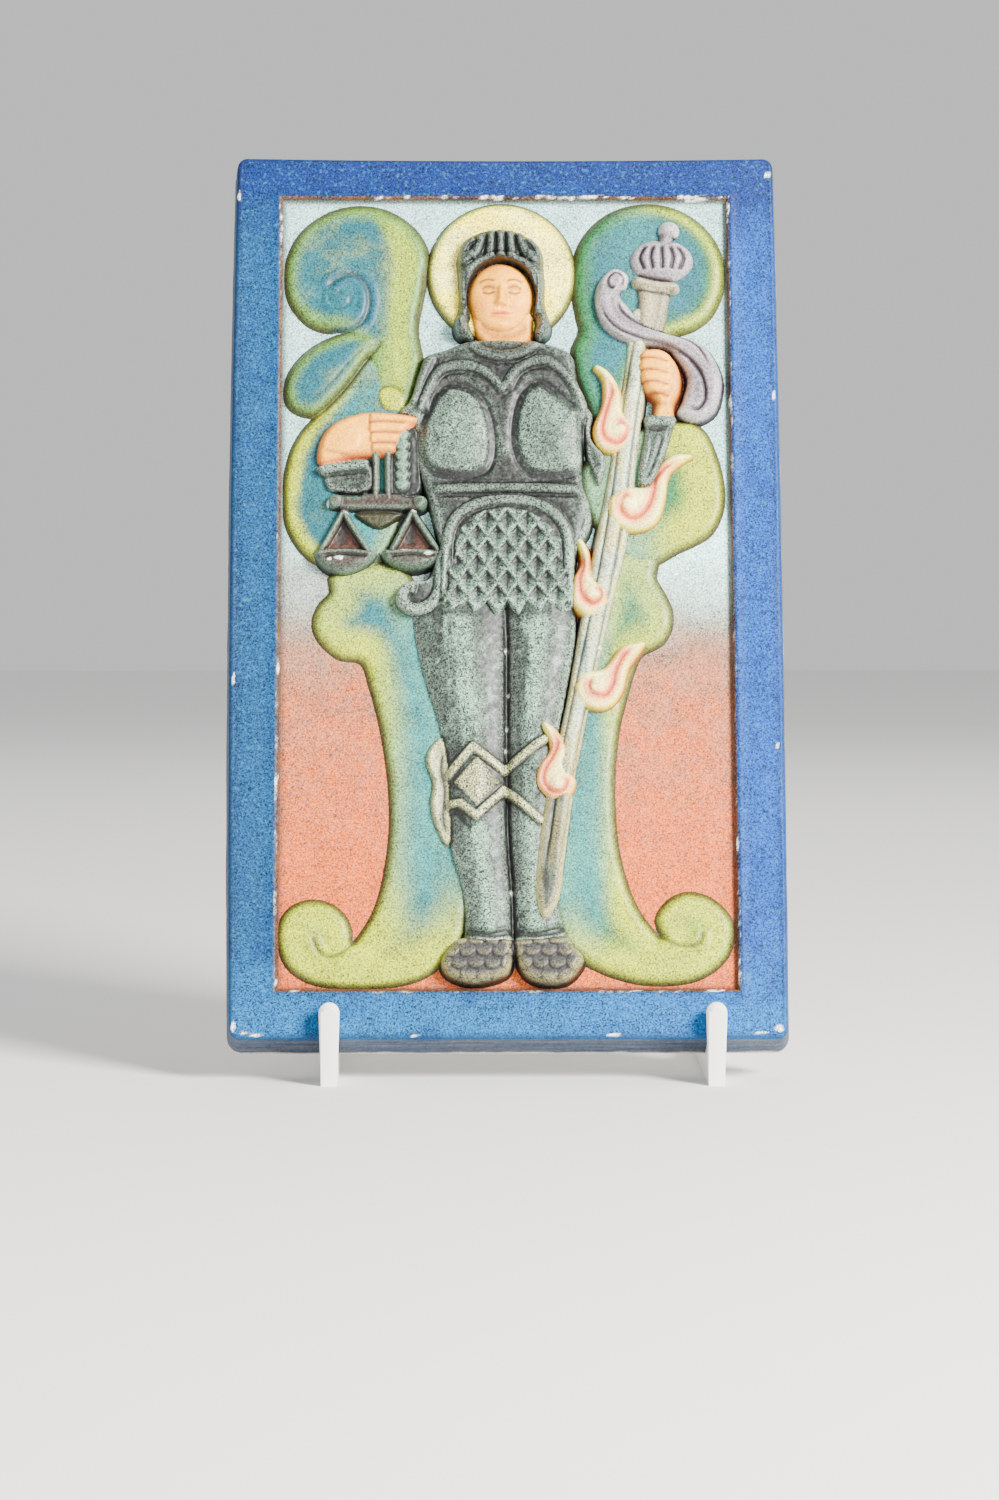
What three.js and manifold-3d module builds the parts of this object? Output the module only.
// A cast and painted plaster wall plaque, leaning in a moulded plate stand.
// Millimetres, +Z up, the face towards -Y. The part stands on the feet of its plate stand.
import * as THREE from 'three';
import { mergeVertices } from 'three/addons/utils/BufferGeometryUtils.js';
import Module from 'manifold-3d';

const wasm = await Module();
wasm.setup();

// Plaque: the cast slab
const faceWidth = 178;
const faceHeight = 297;
const slabThickness = 20;
const sideDraft = 1.8;
const cornerRadius = 3.4;
const faceArris = 1.0;
const leftSideBow = 1.2;
const rightSideBow = 0.6;
const topSag = 0.8;

// Plaque: the raised border and the sunk panel
const leftBar = 14.4;
const rightBar = 15.0;
const topBar = 13.8;
const bottomBar = 15.2;
const panelDepth = 2.4;
const panelSlope = 1.5;

// Plaque: how far each layer of the relief stands above the panel
const wingRise = 2.5;
const lobeRise = 3.1;
const curlSwell = 1.8;
const haloRise = 2.9;
const bodyRise = 6.2;
const breastRise = 7.6;
const helmetRise = 8.2;
const faceSeat = 4.2;
const faceSwell = 4.8;
const neckRise = 5.4;
const legRise = 7.2;
const footRise = 6.8;
const bandRise = 7.8;
const finRise = 3.6;
const bladeRise = 4.6;
const forearmRise = 5.4;
const guardRise = 6.4;
const pommelRise = 7.0;
const handRise = 7.2;
const flameRise = 6.4;
const balanceRise = 5.6;
const sleeveRise = 4.8;
const reliefRoot = 4;

// Plate stand
const leanDegrees = 16.7;
const faceFootHeight = 14.4;
const prongSpacing = 123;
const standShift = 4.5;
const cheekThickness = 5.2;
const prongWidth = 6.6;
const prongHeight = 26.4;
const prongThickness = 5.4;
const seatGap = 0.3;
const restLength = 105;
const barThickness = 7;
const rearReach = 96;
const runnerHeight = 6;
const tieDiameter = 6;

const lean = THREE.MathUtils.degToRad(leanDegrees);
const panelWidth = faceWidth - leftBar - rightBar;
const panelHeight = faceHeight - topBar - bottomBar;
const panelMiddle = (leftBar - rightBar) / 2;

// The relief is drawn on a grid that fills the panel: x from the middle, y from the foot of the slab
const gridColumns = 148.6;
const gridRows = 268;
const middleColumn = -0.3;
const footRow = 15.2;
const across = panelWidth / gridColumns;
const upward = panelHeight / gridRows;
const detail = Math.min(across, upward);

const plaster = new THREE.MeshStandardMaterial({ color: '#6f8fb0', roughness: 0.75, metalness: 0 });
const plastic = new THREE.MeshStandardMaterial({ color: '#f4f2ec', roughness: 0.3, metalness: 0 });

function solidFrom(geometry) {
  const bare = geometry.index ? geometry.toNonIndexed() : geometry.clone();
  bare.deleteAttribute('normal');
  bare.deleteAttribute('uv');
  const merged = mergeVertices(bare, 1e-4);
  const corners = [];
  const index = merged.index.array;
  for (let i = 0; i < index.length; i += 3) {
    const [a, b, c] = [index[i], index[i + 1], index[i + 2]];
    if (a !== b && b !== c && c !== a) {
      corners.push(a, b, c);
    }
  }
  return new wasm.Manifold(new wasm.Mesh({
    numProp: 3,
    vertProperties: merged.attributes.position.array,
    triVerts: new Uint32Array(corners),
  }));
}

function geometryFrom(solid) {
  const { vertProperties, triVerts } = solid.getMesh();
  const geometry = new THREE.BufferGeometry();
  geometry.setAttribute('position', new THREE.BufferAttribute(vertProperties, 3));
  geometry.setIndex(new THREE.BufferAttribute(triVerts, 1));
  geometry.computeVertexNormals();
  return geometry;
}

function joined(geometries) {
  return geometries.map(solidFrom).reduce((whole, solid) => whole.add(solid));
}

// Places on the panel

function onPanel(x, y) {
  return new THREE.Vector2(
    panelMiddle + (x - middleColumn) * across,
    bottomBar + (y - footRow) * upward,
  );
}

function smoothOutline(points, stepsBetween) {
  const path = new THREE.CatmullRomCurve3(
    points.map(([x, y]) => new THREE.Vector3(...onPanel(x, y), 0)),
    true,
    'centripetal',
  );
  return path.getPoints(points.length * stepsBetween).slice(0, -1).map(({ x, y }) => new THREE.Vector2(x, y));
}

function roundOutline([x, y], [halfWidth, halfHeight], sides, tilt = 0) {
  const turn = THREE.MathUtils.degToRad(tilt);
  return Array.from({ length: sides }, (_, i) => {
    const angle = (2 * Math.PI * i) / sides;
    const right = halfWidth * Math.cos(angle);
    const up = halfHeight * Math.sin(angle);
    return [
      x + right * Math.cos(turn) - up * Math.sin(turn),
      y + right * Math.sin(turn) + up * Math.cos(turn),
    ];
  });
}

// Forms of the relief

// A flat-topped form with a rounded edge that is soft across the face and round in depth
function cushion(points, rise, { soft = 1.5, round = 1.2, rings = 1, steps = 2 } = {}) {
  const geometry = new THREE.ExtrudeGeometry(new THREE.Shape(smoothOutline(points, steps)), {
    depth: rise + reliefRoot - 2 * round * detail,
    bevelSize: soft * detail,
    bevelOffset: -soft * detail,
    bevelThickness: round * detail,
    bevelSegments: rings,
  });
  return geometry.translate(0, 0, round * detail - panelDepth - reliefRoot);
}

// A half-round dome over an ellipse that swells out of the form at its seat
function dome([x, y], [halfWidth, halfHeight], seat, swell, { around = 8, rings = 3, tilt = 0 } = {}) {
  const middle = onPanel(x, y);
  const geometry = new THREE.SphereGeometry(1, around, rings);
  geometry.rotateX(Math.PI / 2);
  geometry.scale(halfWidth * across, halfHeight * upward, swell * detail);
  geometry.rotateZ(THREE.MathUtils.degToRad(tilt));
  return geometry.translate(middle.x, middle.y, seat - panelDepth);
}

// A limb half buried in the panel. Each station is its height, its left and right edge and its rise.
function limb(stations, sides = 10) {
  const geometry = new THREE.CylinderGeometry(1, 1, 1, sides, stations.length - 1);
  const place = geometry.attributes.position;
  for (let i = 0; i < place.count; i += 1) {
    const station = Math.round((0.5 - place.getY(i)) * (stations.length - 1));
    const [y, left, right, rise] = stations[station];
    const edge = place.getX(i);
    const out = place.getZ(i);
    const spot = onPanel((left + right) / 2 + (edge * (right - left)) / 2, y);
    const depth = Math.sign(out) * Math.abs(out) ** 0.8;
    place.setXYZ(i, spot.x, spot.y, -panelDepth + (depth > 0 ? depth * rise : depth * reliefRoot));
  }
  return geometry;
}

// A rib of constant width along a path, with its crest at the rise less any drop given at a point. Its foot
// reaches down into the slab; the section's first axis points into the slab.
function rib(points, width, rise) {
  const radius = (width * detail) / 2;
  const places = points.map(([x, y, drop = 0]) => (
    new THREE.Vector3(...onPanel(x, y), rise - drop * detail - panelDepth - radius)
  ));
  const path = new THREE.CatmullRomCurve3(places, false, 'centripetal');
  const section = new THREE.Shape(Array.from({ length: 6 }, (_, i) => {
    const angle = (Math.PI * i) / 3;
    const inward = radius * Math.cos(angle);
    return new THREE.Vector2(inward > 0 ? inward + rise : inward, radius * Math.sin(angle));
  }));
  return new THREE.ExtrudeGeometry(section, {
    steps: points.length - 1,
    extrudePath: path,
    bevelEnabled: false,
  });
}

// A row of pointed scales, centred on a point, whose lower tips stand out over the row below
function scaleRow([x, y], count, pitch, height, rise, tipLift) {
  const middle = onPanel(x, y);
  const step = pitch * across;
  const tall = height * upward;
  const half = (count * step) / 2;
  const shape = new THREE.Shape();
  shape.moveTo(half, tall * 0.5);
  shape.lineTo(-half, tall * 0.5);
  for (let i = 0; i < count; i += 1) {
    shape.lineTo(-half + i * step, -tall * 0.1);
    shape.lineTo(-half + (i + 0.5) * step, -tall * 0.62);
  }
  shape.lineTo(half, -tall * 0.1);
  shape.closePath();
  const geometry = new THREE.ExtrudeGeometry(shape, { depth: reliefRoot, bevelEnabled: false });
  geometry.translate(0, 0, -reliefRoot);
  geometry.rotateX(-Math.atan2(tipLift * detail, tall));
  return geometry.translate(middle.x, middle.y, rise - panelDepth);
}

// Slab with its border and sunk panel

function rectangleOutline(left, right, bottom, top, radius, bows = {}) {
  const { leftBow = 0, rightBow = 0, sag = 0 } = bows;
  const shape = new THREE.Shape();
  const middle = (bottom + top) / 2;
  shape.moveTo(left + radius, bottom);
  shape.lineTo(right - radius, bottom);
  shape.quadraticCurveTo(right, bottom, right, bottom + radius);
  shape.quadraticCurveTo(right + 2 * rightBow, middle, right, top - radius);
  shape.quadraticCurveTo(right, top, right - radius, top);
  shape.quadraticCurveTo((left + right) / 2, top - 2 * sag, left + radius, top);
  shape.quadraticCurveTo(left, top, left, top - radius);
  shape.quadraticCurveTo(left - 2 * leftBow, middle, left, bottom + radius);
  shape.quadraticCurveTo(left, bottom, left + radius, bottom);
  return shape;
}

// A block, with its top at zero, whose outline spreads evenly from its top face down to its bottom face
function draftedBlock(shape, depth, spread, curveSteps, arris = 0) {
  const geometry = new THREE.ExtrudeGeometry(shape, {
    depth: depth - 2 * arris,
    bevelEnabled: arris > 0,
    bevelSize: arris,
    bevelOffset: -arris,
    bevelThickness: arris,
    bevelSegments: 1,
    curveSegments: curveSteps,
  });
  geometry.translate(0, 0, arris - depth);
  geometry.computeBoundingBox();
  const size = geometry.boundingBox.getSize(new THREE.Vector3());
  const centre = geometry.boundingBox.getCenter(new THREE.Vector3());
  const place = geometry.attributes.position;
  for (let i = 0; i < place.count; i += 1) {
    const share = -place.getZ(i) / depth;
    place.setX(i, centre.x + (place.getX(i) - centre.x) * (1 + (2 * spread * share) / size.x));
    place.setY(i, centre.y + (place.getY(i) - centre.y) * (1 + (2 * spread * share) / size.y));
  }
  return geometry;
}

function slab() {
  const bows = { leftBow: leftSideBow, rightBow: rightSideBow, sag: topSag };
  const half = faceWidth / 2;
  const outline = rectangleOutline(-half, half, 0, faceHeight, cornerRadius, bows);
  const body = draftedBlock(outline, slabThickness, sideDraft, 5, faceArris);
  const panel = rectangleOutline(
    -half + leftBar + panelSlope,
    half - rightBar - panelSlope,
    bottomBar + panelSlope,
    faceHeight - topBar - panelSlope,
    1,
  );
  const hollow = draftedBlock(panel, 2 * panelDepth, -2 * panelSlope, 2);
  hollow.translate(0, 0, panelDepth);
  return solidFrom(body).subtract(solidFrom(hollow));
}

// Wings and halo

const leftWingTop = [
  [-25.5, 262], [-31, 272.5], [-39, 278.5], [-48, 280.3], [-58, 278.2], [-67, 272], [-72.4, 262],
  [-72.4, 250],
  [-66, 239.4], [-57, 236], [-52, 230], [-46, 218], [-38, 206], [-31, 213], [-27.5, 226], [-29, 238],
  [-26, 250],
];
const leftWingLeaf = [
  [-41, 236], [-50, 237], [-60, 233.5], [-69, 226.5], [-72.8, 217], [-70.5, 209], [-62, 208.3], [-52, 218],
];
const leftWingCrescent = [
  [-44, 228], [-54, 217], [-65, 205], [-71.6, 193], [-73, 180], [-70, 165.5], [-62, 156.8], [-50, 154],
  [-38, 162], [-30, 190], [-33, 212],
];
const leftWingStem = [
  [-56.3, 154], [-58.8, 146.3], [-63.2, 138], [-60.5, 129.5], [-54, 125], [-47.3, 123.7], [-42.8, 110],
  [-39.3, 93], [-37.8, 76], [-39, 58], [-43.5, 40.5], [-49.6, 31.8], [-50.4, 37.5], [-55, 43.2], [-62.5, 45],
  [-70, 42], [-73.5, 34.5], [-71.5, 25], [-64, 18.8], [-50, 16.8], [-34, 17.8], [-22, 23.5], [-14, 34],
  [-12, 60], [-16, 100], [-22, 130], [-34, 156],
];
const rightWingTop = [
  [22.6, 260], [27, 271.5], [36, 278.5], [47.5, 281], [60, 277.5], [68.8, 269.5], [72.3, 257], [69.8, 245],
  [62, 237.3], [50, 234], [42, 222], [37, 205], [29, 206], [23.5, 219], [22.5, 230], [24.2, 238], [22.4, 249],
];
const rightWingCrescent = [
  [46, 204], [61, 205.2], [67, 199.5], [70.6, 187], [70.8, 175.5], [65.5, 165.8], [56, 161], [46, 156],
  [36, 160], [26, 176], [26, 192],
];
const rightWingStem = [
  [49, 162], [48.6, 154.5], [51.7, 146.5], [53.8, 138], [50.5, 130], [43.5, 126], [38.5, 112], [35, 95],
  [34.3, 76], [36.5, 56], [42, 41.5], [49, 33.6], [47, 39], [51, 45], [58.5, 47.6], [67, 44.5], [72, 36.5],
  [70, 26.5], [61, 19.5], [47, 17.6], [33, 20.3], [24, 25], [14, 40], [12, 80], [22, 120], [34, 160],
];

function wings() {
  const broad = { soft: 3, round: 1.5 };
  const leaf = { soft: 2.4, round: 1.2 };
  return [
    cushion(leftWingTop, wingRise, broad),
    cushion(leftWingLeaf, lobeRise, leaf),
    cushion(leftWingCrescent, wingRise - 0.3, leaf),
    cushion(leftWingStem, wingRise - 0.4, { ...leaf, steps: 1 }),
    cushion(rightWingTop, wingRise, broad),
    cushion(rightWingCrescent, wingRise - 0.3, leaf),
    cushion(rightWingStem, wingRise - 0.4, { ...leaf, steps: 1 }),
    dome([-52, 247.5], [7.6, 8.4], wingRise - 0.5, curlSwell, { around: 12, rings: 4 }),
    dome([-38.6, 211.8], [5.2, 5.6], wingRise - 0.5, curlSwell),
    dome([-56.5, 33], [6.6, 6.8], wingRise - 0.9, curlSwell, { around: 12, rings: 4 }),
    dome([55, 37.2], [7.4, 7.2], wingRise - 0.9, curlSwell, { around: 12, rings: 4 }),
  ];
}

const haloCentre = [-1.4, 256.3];
const haloRadius = 24.4;

function halo() {
  const disc = roundOutline(haloCentre, [haloRadius, haloRadius], 16);
  return [cushion(disc, haloRise, { soft: 1.2, round: 1 })];
}

// Head, helmet and collar

const headMiddle = -1.6;
const helmetOutline = [
  [-2, 272.4], [6.5, 270.2], [11.8, 264], [12.3, 252], [13.6, 241], [11.5, 234.4], [8.2, 233.5],
  [-11.5, 233.5],
  [-15.5, 234.5], [-17.6, 240], [-17, 252], [-16.2, 264.5], [-9.5, 270],
];
const helmetRidges = [-11, -6.5, -2, 2.5, 7];

const collarPath = [[-12.4, 231.8, 1.5], [-8.5, 228.3], [-1.8, 226.6], [5, 227.6], [9.6, 230.8, 1.5]];
const faceMiddle = 247.4;
const faceHalfWidth = 10.4;
const faceHalfHeight = 12.2;

function helmet() {
  const ridges = helmetRidges.map((x) => rib(
    [[x * 1.15, 260.5, 0.4], [x * 1.1, 265, 0], [x * 0.6 + headMiddle * 0.4, 270, 1.6]],
    2.2,
    helmetRise + 0.8,
  ));
  return [
    cushion(helmetOutline, helmetRise, { soft: 2.6, round: 2.6, rings: 2, steps: 1 }),
    ...ridges,
    rib([[-13, 258.6, 0.5], [headMiddle, 261.4], [9.8, 258.6, 0.5]], 2, helmetRise + 0.9),
    dome([11, 238], [3.4, 3.8], helmetRise - 1.4, 2.2),
  ];
}

// What is taken out of the helmet, so that the face lies back inside it
function helmetOpening() {
  const outline = roundOutline([headMiddle, faceMiddle], [faceHalfWidth + 0.8, faceHalfHeight + 0.8], 12);
  return cushion(outline, helmetRise + faceSwell, { soft: 0.1, round: 0.1, steps: 1 })
    .translate(0, 0, reliefRoot + faceSeat - 1);
}

function faceAndNeck() {
  const small = { around: 6 };
  const faceRise = faceSeat + faceSwell;
  const eyes = faceMiddle + 1.8;
  const noseTip = faceMiddle - 3;
  const mouth = faceMiddle - 6;
  const chin = faceMiddle - 9.6;
  return [
    dome(
      [headMiddle, faceMiddle],
      [faceHalfWidth, faceHalfHeight],
      faceSeat,
      faceSwell,
      { around: 12, rings: 6 },
    ),
    dome([headMiddle, 233], [9.2, 6], neckRise - 2.4, 2.6),
    rib(
      [[headMiddle, eyes + 2.6, 1.4], [headMiddle, eyes - 1, 0.6], [headMiddle, noseTip]],
      2.6,
      faceRise + 1,
    ),
    ...[-4.3, 4.3].map((x) => dome([headMiddle + x, eyes], [2.4, 1.3], faceRise - 1.1, 1, small)),
    dome([headMiddle, mouth], [2.9, 0.9], faceRise - 0.9, 0.9, small),
    dome([headMiddle, chin], [2.8, 1.8], faceRise - 2.6, 1.6, small),
    rib(collarPath, 3.2, bodyRise + 0.9),
  ];
}

// Armoured body

const torsoOutline = [
  [-10, 233], [-20, 229.8], [-26.5, 227.4], [-29.4, 221], [-31.5, 213], [-35.5, 207.5], [-30.5, 203],
  [-29.5, 190], [-26, 178], [-22.5, 162], [-23, 141], [-10, 139], [0, 138.3], [11, 139], [21.8, 141],
  [23, 158], [28, 168], [27.5, 176], [25.2, 184], [25.6, 197], [27.2, 209], [23.6, 219], [21.3, 228.5],
  [9, 232.6],
];
const leftBreast = [
  [-17, 217], [-8.5, 213.2], [-4.4, 203], [-4, 192], [-7.5, 186.3], [-17, 184.6], [-26, 188], [-29, 197],
  [-26.5, 207.5], [-22, 214.5],
];
const rightBreast = [
  [10.5, 217.8], [16.5, 214.3], [21, 210.2], [24.5, 207], [25.2, 196], [24, 186.8], [15, 184.5], [6.5, 186.4],
  [2.3, 193.5], [1.8, 203], [4.3, 213],
];
const elbowOutline = [
  [24, 211], [28.5, 207.5], [28, 199.5], [32.6, 193], [32.4, 187], [30, 182.6], [27, 190], [24.5, 200],
];
const hipScroll = [
  [-20, 161], [-23, 160.5], [-25, 155], [-29, 151.3], [-34, 149.6], [-36.8, 144.5], [-34.5, 140],
  [-28, 138.6],
  [-22, 141.5], [-20.5, 150],
];
const archCentre = [0, 158.5];
const archRadii = [17.8, 16.4];
const scalePitch = 6.5;
const scaleRowHeight = 5.05;
const scaleRows = 7;
const scaleTopRow = 170.8;
const hemHalfWidth = 21.5;

function scaleField() {
  return Array.from({ length: scaleRows }, (_, row) => {
    const y = scaleTopRow - row * scaleRowHeight;
    const upOval = Math.max((y - archCentre[1]) / archRadii[1], 0);
    const underArch = archRadii[0] * Math.sqrt(Math.max(0, 1 - upOval ** 2));
    const reach = y > archCentre[1] - scaleRowHeight ? underArch : hemHalfWidth;
    const odd = row % 2;
    const count = odd + 2 * Math.round((reach + 1) / scalePitch - odd / 2);
    return scaleRow([0, y], count, scalePitch, scaleRowHeight * 1.05, bodyRise + 0.3, 0.9);
  });
}

function torso() {
  const archBand = [
    [-19, 153], [-18.6, 163], [-14.5, 171.2], [-7, 175.4], [0, 176.6], [8, 175], [15.5, 170.4], [19, 162.5],
    [19.5, 153],
  ];
  return [
    cushion(torsoOutline, bodyRise, { soft: 2.2, round: 2.4, steps: 1 }),
    cushion(leftBreast, breastRise, { soft: 3.4, round: 1.6 }),
    cushion(rightBreast, breastRise, { soft: 3.4, round: 1.6 }),
    rib([[-26.5, 213], [-23, 220.5], [-15, 223.6], [-7.5, 221], [-1.8, 215.5]], 2.4, bodyRise + 1),
    rib([[-0.8, 215.5], [3.5, 221.6], [11, 225], [17.6, 222], [21, 214.5]], 2.4, bodyRise + 1),
    rib([[-24.5, 180], [-12, 180.2], [0, 180.6], [12, 180.4], [24.5, 180]], 2.2, bodyRise + 0.9),
    rib(archBand, 3, bodyRise + 0.9),
    ...scaleField(),
    cushion(elbowOutline, bodyRise - 1.4, { soft: 1.2, round: 1.2, steps: 1 }),
    cushion(hipScroll, bodyRise - 0.2, { soft: 0.8, round: 1.2, steps: 1 }),
    dome([-29, 145.6], [4.2, 4.4], bodyRise - 0.6, 1.8),
  ];
}

// Legs, knees and feet

const leftLeg = [
  [142, -32, 1, 5.6], [130, -30.3, 0.2, legRise], [116, -26.8, 0, legRise], [102, -22.2, -0.3, legRise - 0.4],
  [88, -20.4, -0.4, legRise], [76, -20.2, -0.3, legRise], [62, -19.2, 0, legRise - 0.2],
  [48, -14.7, 1, legRise - 0.8], [38, -13.6, 1.2, legRise - 1.2], [31, -14.6, 1.4, legRise - 1],
];
const rightLeg = [
  [142, -2, 22.5, 5.6], [130, 0, 22.4, legRise - 0.4], [116, 0, 19.7, legRise - 0.4],
  [102, 0, 17, legRise - 0.8],
  [88, 0.2, 16.4, legRise - 0.4], [76, 0.2, 15.8, legRise - 0.6], [62, 0.5, 15, legRise - 0.8],
  [48, 1.6, 15.2, legRise - 1.4], [38, 1.8, 17.4, legRise - 1.6], [31, 2, 19.6, legRise - 1.4],
];
const kneeFin = [
  [-20.5, 97.5], [-25.4, 95], [-27.4, 89.5], [-25.2, 81], [-26, 72], [-23.5, 65], [-18.5, 61.5], [-17, 80],
];
const leftFoot = [
  [-14, 33.5], [-19.5, 29.5], [-22, 24.5], [-19.5, 19.6], [-11.5, 17], [-2.5, 18.8], [1.2, 22.5], [1.4, 32.5],
];
const rightFoot = [
  [1.9, 32.5], [2.2, 25], [6, 19], [13, 16.8], [20, 18.4], [24.6, 25], [21.5, 30], [17.5, 34],
];
const footScaleRadius = 3.2;

function footScales(left, right, bottom, top) {
  const bumps = [];
  const rows = Math.round((top - bottom) / (footScaleRadius * 1.7));
  for (let row = 0; row < rows; row += 1) {
    const y = bottom + footScaleRadius + row * footScaleRadius * 1.7;
    const indent = row === 0 ? footScaleRadius * 1.4 : (row % 2) * footScaleRadius;
    for (let x = left + footScaleRadius + indent; x <= right - footScaleRadius; x += footScaleRadius * 2) {
      bumps.push(dome([x, y], [footScaleRadius, footScaleRadius], footRise - 0.3, 1.2, { around: 6 }));
    }
  }
  return bumps;
}

function legs() {
  const upperBand = [[-21, 82, 4.4], [-17, 88, 1.6], [-11.3, 95, 0.2], [-6, 91.4, 0.2], [-1, 87.6, 2.6],
    [4, 91.4, 0.6], [9.5, 95, 0.2]];
  const lowerBand = [[-19.6, 87.4, 3.4], [-10.6, 75, 0.2], [-6, 77.6, 0.2], [-1, 82.4, 2.6], [4, 78, 0.6],
    [9.8, 73, 0.6]];
  return [
    limb(leftLeg),
    limb(rightLeg),
    cushion(kneeFin, finRise, { soft: 1.6, round: 1.2, steps: 1 }),
    dome([-10.6, 85], [7.4, 8], legRise - 0.8, 2, { around: 4 }),
    rib(upperBand, 3, bandRise + 0.6),
    rib(lowerBand, 3, bandRise + 0.6),
    cushion(leftFoot, footRise, { soft: 2.6, round: 2.6 }),
    cushion(rightFoot, footRise, { soft: 2.6, round: 2.6 }),
    ...footScales(-20.5, 1, 17.2, 31.5),
    ...footScales(2.5, 23, 17, 31.5),
  ];
}

// Flaming sword and the hand that holds it

const bladeOutline = [
  [39, 232], [47, 232], [44.5, 200], [40.6, 168], [34, 140], [27.6, 112], [21.6, 82], [18.4, 62], [15.8, 48],
  [11.5, 39.2], [8.5, 42], [7.6, 50], [9.3, 62], [12.6, 78], [18.4, 108], [23.6, 138], [28.6, 165], [33, 190],
  [38, 218],
];
const guardOutline = [
  [37.5, 259], [31.5, 255.5], [28.5, 248], [30.5, 239.5], [37, 233.3], [47, 230.6], [55, 227.3], [58.6, 220],
  [56.6, 212.5], [60.5, 205.6], [67.5, 206.8], [71.4, 216], [69, 229.5], [60, 235.3], [50, 237],
  [42.3, 242.3],
  [39.2, 248.5], [40.6, 256],
];
const gripOutline = [
  [43.5, 252], [54.6, 251.5], [52.6, 238], [43.6, 240],
];
const swordHand = [
  [45, 230], [51.5, 229.6], [55.6, 225.5], [57.6, 218], [55.4, 206.5], [48, 206], [47.6, 213], [43.2, 220],
  [42.6, 226],
];
const swordForearm = [
  [45.6, 207], [54.6, 206.6], [53, 199.5], [48, 187], [44, 181.5], [42.6, 185], [45, 200],
];
const flames = [
  {
    outline: [[28.2, 222.6], [30, 224.6], [34.6, 221.5], [38, 215], [38.6, 208], [41.7, 202.5], [40.3, 196],
      [34.5, 193], [29.3, 195.8], [28, 202.5], [31, 210.5], [31, 218.5]],
    heart: [36, 201.3],
  },
  {
    outline: [[62, 192.6], [55.5, 194], [50, 190.2], [46.3, 183], [39, 182.5], [33.2, 178.5], [33.6, 170.5],
      [40.5, 166.2], [48.5, 168.8], [52, 176], [54, 186.4]],
    heart: [40.8, 176],
  },
  {
    outline: [[21.9, 164], [24.3, 165.2], [27.2, 160.5], [28, 152], [32.8, 147.6], [32.6, 141.6],
      [26.3, 137.8], [20.9, 142], [21, 150.5], [23.8, 157]],
    heart: [27.4, 145.3],
  },
  {
    outline: [[45.5, 129.8], [37, 128.8], [31.2, 121.6], [24.5, 120], [21.2, 114], [24.5, 107.8], [32, 106.8],
      [37.2, 111.8], [40, 121]],
    heart: [29.8, 115],
  },
  {
    outline: [[9.9, 101.9], [11.4, 104.3], [16.4, 101], [18.8, 94], [19, 88], [21.7, 83.4], [18.3, 77.4],
      [11.5, 77.6], [7.7, 84], [9.5, 92], [11.8, 98.8]],
    heart: [17.2, 84],
  },
];

function sword() {
  const flutes = [-5.6, 0, 5.6];
  const [pommelX, pommelY] = [51.6, 261.4];
  const knuckles = [227.6, 223.6, 219.6, 215.8];
  return [
    cushion(bladeOutline, bladeRise, { soft: 1.4, round: 1.4, steps: 1 }),
    cushion(gripOutline, bladeRise + 0.6, { soft: 1.4, round: 1.4, steps: 1 }),
    cushion(guardOutline, guardRise, { soft: 2, round: 1.8 }),
    dome([36.4, 250], [3, 4.6], guardRise - 0.6, 1.8),
    dome([pommelX, pommelY], [10.2, 7.8], 0, pommelRise, { around: 12, rings: 6 }),
    ...flutes.map((x) => rib(
      [
        [pommelX + x * 0.75, pommelY + 5, 1.7],
        [pommelX + x, pommelY],
        [pommelX + x * 0.75, pommelY - 5, 1.7],
      ],
      2.4,
      pommelRise + 0.5 - Math.abs(x) * 0.2,
    )),
    rib([[43.6, 253.6], [49, 252.4], [54.6, 251.4]], 4, pommelRise - 1),
    dome([54, 272], [3.2, 3.2], 1.5, pommelRise - 3),
    cushion(swordForearm, forearmRise, { soft: 1.8, round: 1.8, steps: 1 }),
    cushion(swordHand, handRise - 0.8, { soft: 2, round: 2, steps: 1 }),
    ...knuckles.map((y, i) => (
      dome([49.4 + i * 0.5, y], [6.6 - i * 0.7, 2.2], handRise - 1.4, 1.9, { around: 6 })
    )),
    ...flames.map(({ outline }) => cushion(outline, flameRise, { soft: 1, round: 1.2 })),
    ...flames.map(({ heart }) => dome(heart, [3.4, 3.4], flameRise - 0.6, 1.6, { around: 6 })),
  ];
}

// Hand with the balance

const balanceHand = [
  [-28.6, 203.6], [-29.4, 206.2], [-37, 207.4], [-47, 208.2], [-57, 204.4], [-61.7, 197.5], [-61.2, 189.4],
  [-50, 191.5],
  [-37, 192.6], [-34, 198], [-31.5, 202.4],
];
const sleeve = [
  [-62.4, 189.6], [-51, 191.8], [-45, 191], [-44.8, 180.6], [-56.8, 180.2], [-60.3, 185.4],
];
const mailStrip = [
  [-37.6, 183.6], [-37.4, 193], [-33, 199.6], [-29, 201.4], [-28.4, 184.6],
];
const balanceBeam = [
  [-59, 178.6], [-52, 179.8], [-44, 180.2], [-36, 179.6], [-27.2, 179.4], [-26.6, 175.8], [-34, 173.8],
  [-51, 173.8], [-58.6, 175.8],
];
const leftPan = [[-63.5, 161], [-43, 160.8], [-46.5, 156.4], [-52.5, 153.6], [-59, 155.6]];
const rightPan = [[-42.6, 161], [-20.4, 160.6], [-24, 156.4], [-31, 154.2], [-38, 156]];
const fingerRise = handRise - 1;

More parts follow.
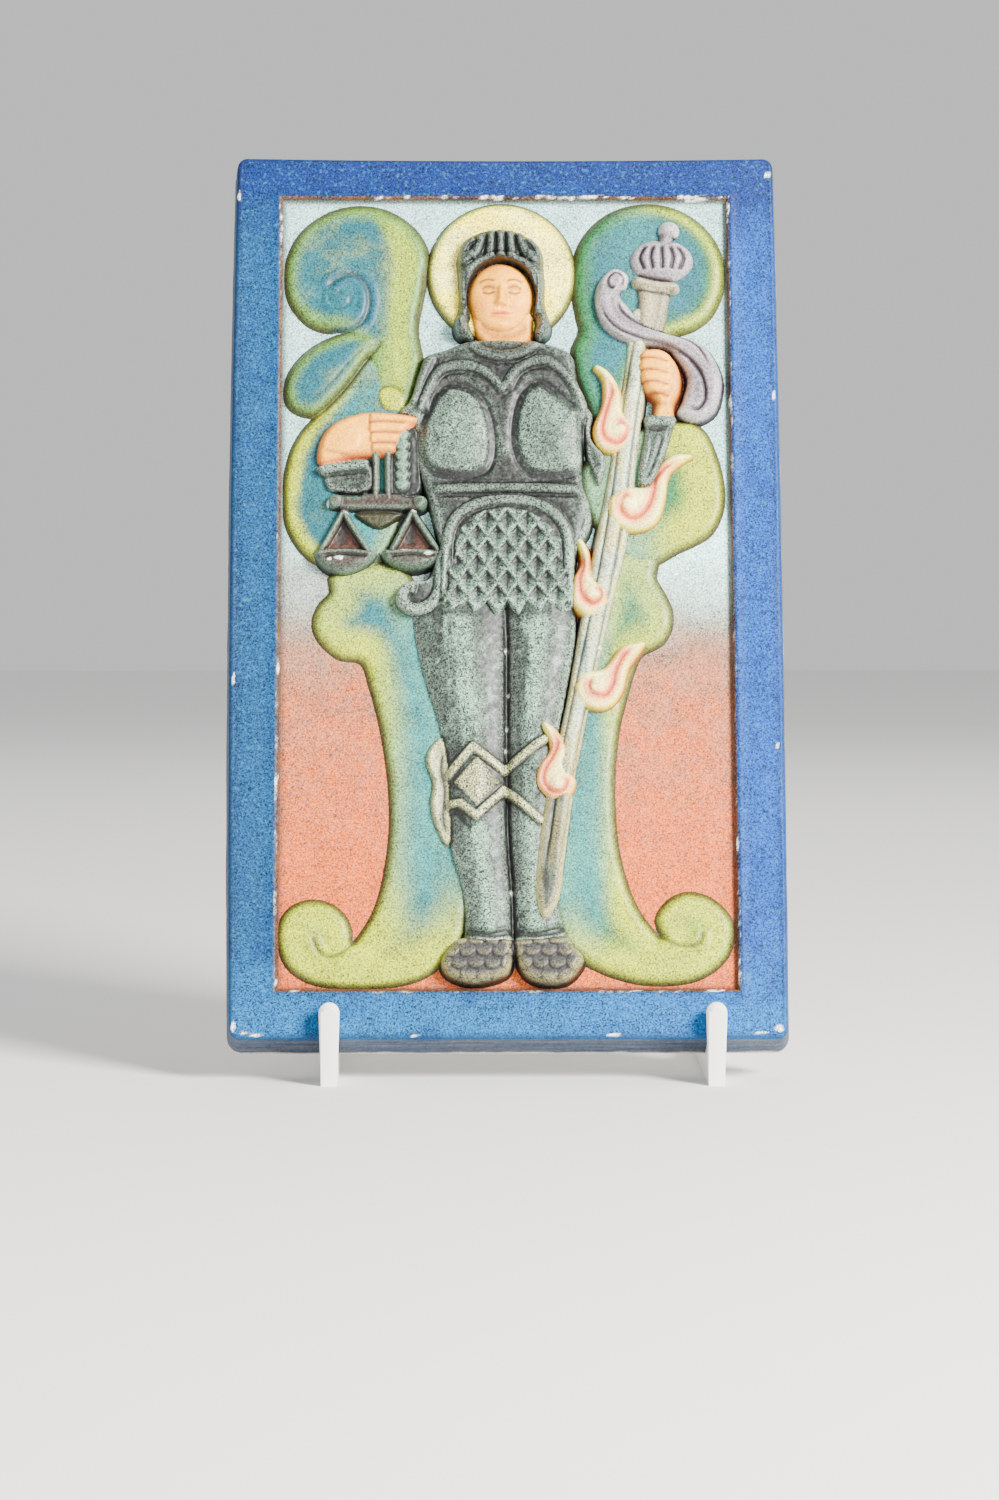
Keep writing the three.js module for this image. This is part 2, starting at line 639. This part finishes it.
function balance() {
  const frames = [[-54.6, -61.4, -46], [-31.6, -39.8, -24.2]];
  const hangers = frames.flatMap(([apex, left, right]) => [
    rib([[apex, 174.6], [left, 160.8]], 2.4, balanceRise),
    rib([[apex, 174.6], [right, 160.8]], 2.4, balanceRise),
  ]);
  const fingers = [205.4, 201.8, 198.2, 194.7];
  return [
    cushion(balanceHand, fingerRise, { soft: 1, round: 1.6, steps: 1 }),
    ...fingers.map((y, i) => (
      dome([i === 0 ? -38.5 : -40, y], [7.2, 1.9], fingerRise - 0.4, 1.6, { around: 6 })
    )),
    cushion(sleeve, sleeveRise, { soft: 1.2, round: 1.2, steps: 1 }),
    cushion(mailStrip, sleeveRise - 0.6, { soft: 1.2, round: 1.2, steps: 1 }),
    rib([[-61.5, 187.6, 0.8], [-53, 189.2], [-46, 190]], 3, sleeveRise + 1),
    rib([[-43.4, 192.6], [-43.6, 179]], 3, balanceRise),
    rib([[-38.8, 192.6], [-38.6, 179]], 2.6, balanceRise),
    cushion(balanceBeam, balanceRise, { soft: 1.2, round: 1.2, steps: 1 }),
    dome([-57, 177.4], [2.6, 2.4], balanceRise - 0.6, 1.6),
    dome([-28.6, 177.6], [2.6, 2.4], balanceRise - 0.6, 1.6),
    ...hangers,
    cushion(leftPan, balanceRise + 0.2, { soft: 1.6, round: 1.6 }),
    cushion(rightPan, balanceRise + 0.2, { soft: 1.6, round: 1.6 }),
  ];
}

function plaque() {
  const figure = [...torso(), ...legs(), ...sword(), ...balance(), ...helmet()];
  const openHelmet = joined([...wings(), ...halo(), ...figure]).subtract(solidFrom(helmetOpening()));
  const relief = openHelmet.add(joined(faceAndNeck()));
  const mesh = new THREE.Mesh(geometryFrom(slab().add(relief)), plaster);
  mesh.name = 'plaque';
  mesh.rotation.x = Math.PI / 2 - lean;
  mesh.position.z = faceFootHeight;
  return mesh;
}

// Plate stand

// A place in the side view, from its height along the plaque's face and its distance in front of it
function besideFace(along, inFront) {
  return new THREE.Vector2(
    along * Math.sin(lean) - inFront * Math.cos(lean),
    faceFootHeight + along * Math.cos(lean) + inFront * Math.sin(lean),
  );
}

function sideways(geometry, left) {
  const turn = new THREE.Matrix4().makeBasis(
    new THREE.Vector3(0, 1, 0),
    new THREE.Vector3(0, 0, 1),
    new THREE.Vector3(1, 0, 0),
  );
  return geometry.applyMatrix4(turn).translate(left, 0, 0);
}

const seatBack = -slabThickness - seatGap;
const restBack = seatBack - barThickness;
const prongFront = besideFace(0, seatGap).x - prongThickness;

function cheekShape() {
  const shape = new THREE.Shape();
  shape.moveTo(prongFront, 0);
  shape.lineTo(prongFront, prongHeight - prongThickness / 2);
  shape.lineTo(besideFace(0, seatGap).x, prongHeight - prongThickness / 2);
  const corners = [
    besideFace(-seatGap, seatGap),
    besideFace(-sideDraft - seatGap, seatBack),
    besideFace(restLength, seatBack),
    besideFace(restLength + barThickness / 2, (seatBack + restBack) / 2),
    besideFace(restLength, restBack),
    new THREE.Vector2(rearReach, runnerHeight),
    new THREE.Vector2(rearReach, 0),
  ];
  corners.forEach(({ x, y }) => shape.lineTo(x, y));
  shape.closePath();
  shape.holes.push(window());
  return shape;
}

// The open triangle between the back rest, the rear leg and the runner
function window() {
  const top = besideFace(restLength, restBack);
  const legSlope = (top.x - rearReach) / (top.y - runnerHeight);
  const legThickness = barThickness * Math.hypot(1, legSlope);
  const alongRest = (height) => (height - faceFootHeight - restBack * Math.sin(lean)) / Math.cos(lean);
  const restLine = (height) => besideFace(alongRest(height), restBack).x;
  const legLine = (height) => rearReach + legSlope * (height - runnerHeight) - legThickness;
  const floor = runnerHeight + 1;
  const ceiling = top.y - legThickness / (Math.tan(lean) - legSlope) - 1;
  const hole = new THREE.Path();
  hole.moveTo(restLine(floor), floor);
  hole.lineTo(legLine(floor), floor);
  hole.lineTo(legLine(ceiling), ceiling);
  hole.lineTo(restLine(ceiling), ceiling);
  hole.closePath();
  return hole;
}

function prong() {
  const radius = prongWidth / 2;
  const shape = new THREE.Shape();
  shape.moveTo(-cheekThickness / 2, 0);
  shape.lineTo(cheekThickness / 2, 0);
  shape.lineTo(radius, prongHeight - radius);
  shape.absarc(0, prongHeight - radius, radius, 0, Math.PI, false);
  shape.closePath();
  const round = prongThickness * 0.28;
  const geometry = new THREE.ExtrudeGeometry(shape, {
    depth: prongThickness - 2 * round,
    bevelSize: round,
    bevelOffset: -round,
    bevelThickness: round,
    bevelSegments: 1,
    curveSegments: 5,
  });
  geometry.rotateX(Math.PI / 2);
  return geometry.translate(0, prongFront + prongThickness - round, 0);
}

function plateStand() {
  const parts = [];
  for (const side of [-1, 1]) {
    const middle = (side * prongSpacing) / 2;
    const cheek = new THREE.ExtrudeGeometry(cheekShape(), { depth: cheekThickness, bevelEnabled: false });
    parts.push(sideways(cheek, middle - cheekThickness / 2));
    parts.push(prong().translate(middle, 0, 0));
  }
  const restMiddle = besideFace(restLength - barThickness / 2, (seatBack + restBack) / 2);
  const ties = [restMiddle, new THREE.Vector2(rearReach - barThickness / 2, runnerHeight / 2)];
  for (const { x, y } of ties) {
    const tie = new THREE.CylinderGeometry(tieDiameter / 2, tieDiameter / 2, prongSpacing, 12);
    parts.push(tie.rotateZ(Math.PI / 2).translate(0, x, y));
  }
  const mesh = new THREE.Mesh(geometryFrom(joined(parts)), plastic);
  mesh.name = 'plate_stand';
  mesh.position.x = standShift;
  return mesh;
}

const group = new THREE.Group();
group.add(plaque(), plateStand());

// The origin is under the middle of the whole part, on the surface that it stands on
const extent = new THREE.Box3().setFromObject(group, true);
const middle = extent.getCenter(new THREE.Vector3());
group.children.forEach((piece) => piece.position.sub(new THREE.Vector3(middle.x, middle.y, extent.min.z)));

export default group;
